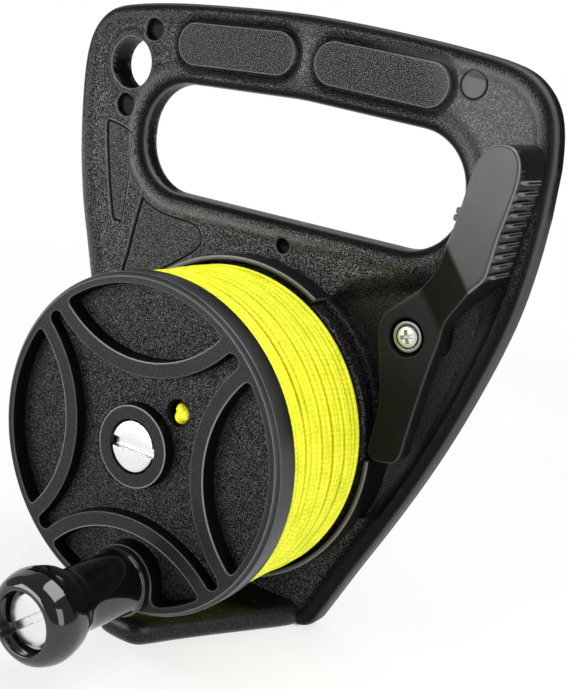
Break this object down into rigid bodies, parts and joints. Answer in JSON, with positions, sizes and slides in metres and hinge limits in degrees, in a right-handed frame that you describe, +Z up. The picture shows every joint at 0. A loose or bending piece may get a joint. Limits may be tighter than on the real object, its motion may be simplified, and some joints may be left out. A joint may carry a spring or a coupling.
{
  "type": "dive reel",
  "caption": "Hand-held line reel with a moulded handle frame, a crank spool of yellow line, a turning knob and a thumb brake lever.",
  "frame": {"origin": "on the flat underside of the tongue, straight below the spool's axis, half way between the spool's front edge and the back of the plate", "axes": "+Z up as the reel stands on its tongue, -Y the front with the spool and the knob, +X towards the brake lever"},
  "size_m": [0.1615, 0.1, 0.1795],
  "materials": {
    "frame_black": "pebble grained",
    "spool_black": "fine grained",
    "lever_black": "smooth satin",
    "knob_gloss": "polished",
    "line_yellow": "braided",
    "bright_steel": "bright",
    "grey_steel": "grey",
    "brass": "plain",
    "nylon": "plain"
  },
  "bodies": {
    "frame": {"frame": "frame_black", "axle_bolt": "bright_steel", "axle_washer_rear": "nylon", "axle_nut_washer": "bright_steel", "axle_nut": "bright_steel", "lever_sleeve": "grey_steel", "lever_screw": "bright_steel", "lever_nut": "bright_steel", "lever_washer": "nylon"},
    "spool": {"spool_front": "spool_black", "spool_rear": "spool_black", "line_core": "line_yellow", "line_winding": "line_yellow", "line_tail": "line_yellow", "axle_bush": "brass", "axle_washer_front": "nylon", "knob_screw": "bright_steel", "knob_insert": "brass", "knob_washer": "bright_steel"},
    "knob": {"crank_knob": "knob_gloss"},
    "lever": {"brake_lever": "lever_black", "lever_spring": "bright_steel"}
  },
  "joints": [
    {"name": "spool_turn", "type": "hinge", "parent": "frame", "child": "spool", "pos_m": [0, 0, 0.06], "axis": [0, 1, 0], "continuous": true},
    {"name": "knob_turn", "type": "hinge", "parent": "spool", "child": "knob", "pos_m": [0.0025, -0.05, 0.0215], "axis": [0, 1, 0], "continuous": true},
    {"name": "brake_release", "type": "hinge", "parent": "frame", "child": "lever", "pos_m": [0.0533, 0.02, 0.0993], "axis": [0, -1, 0], "range_deg": [0, 7], "stiffness_Nm_per_rad": 0.15, "springref_deg": -17.19}
  ]
}
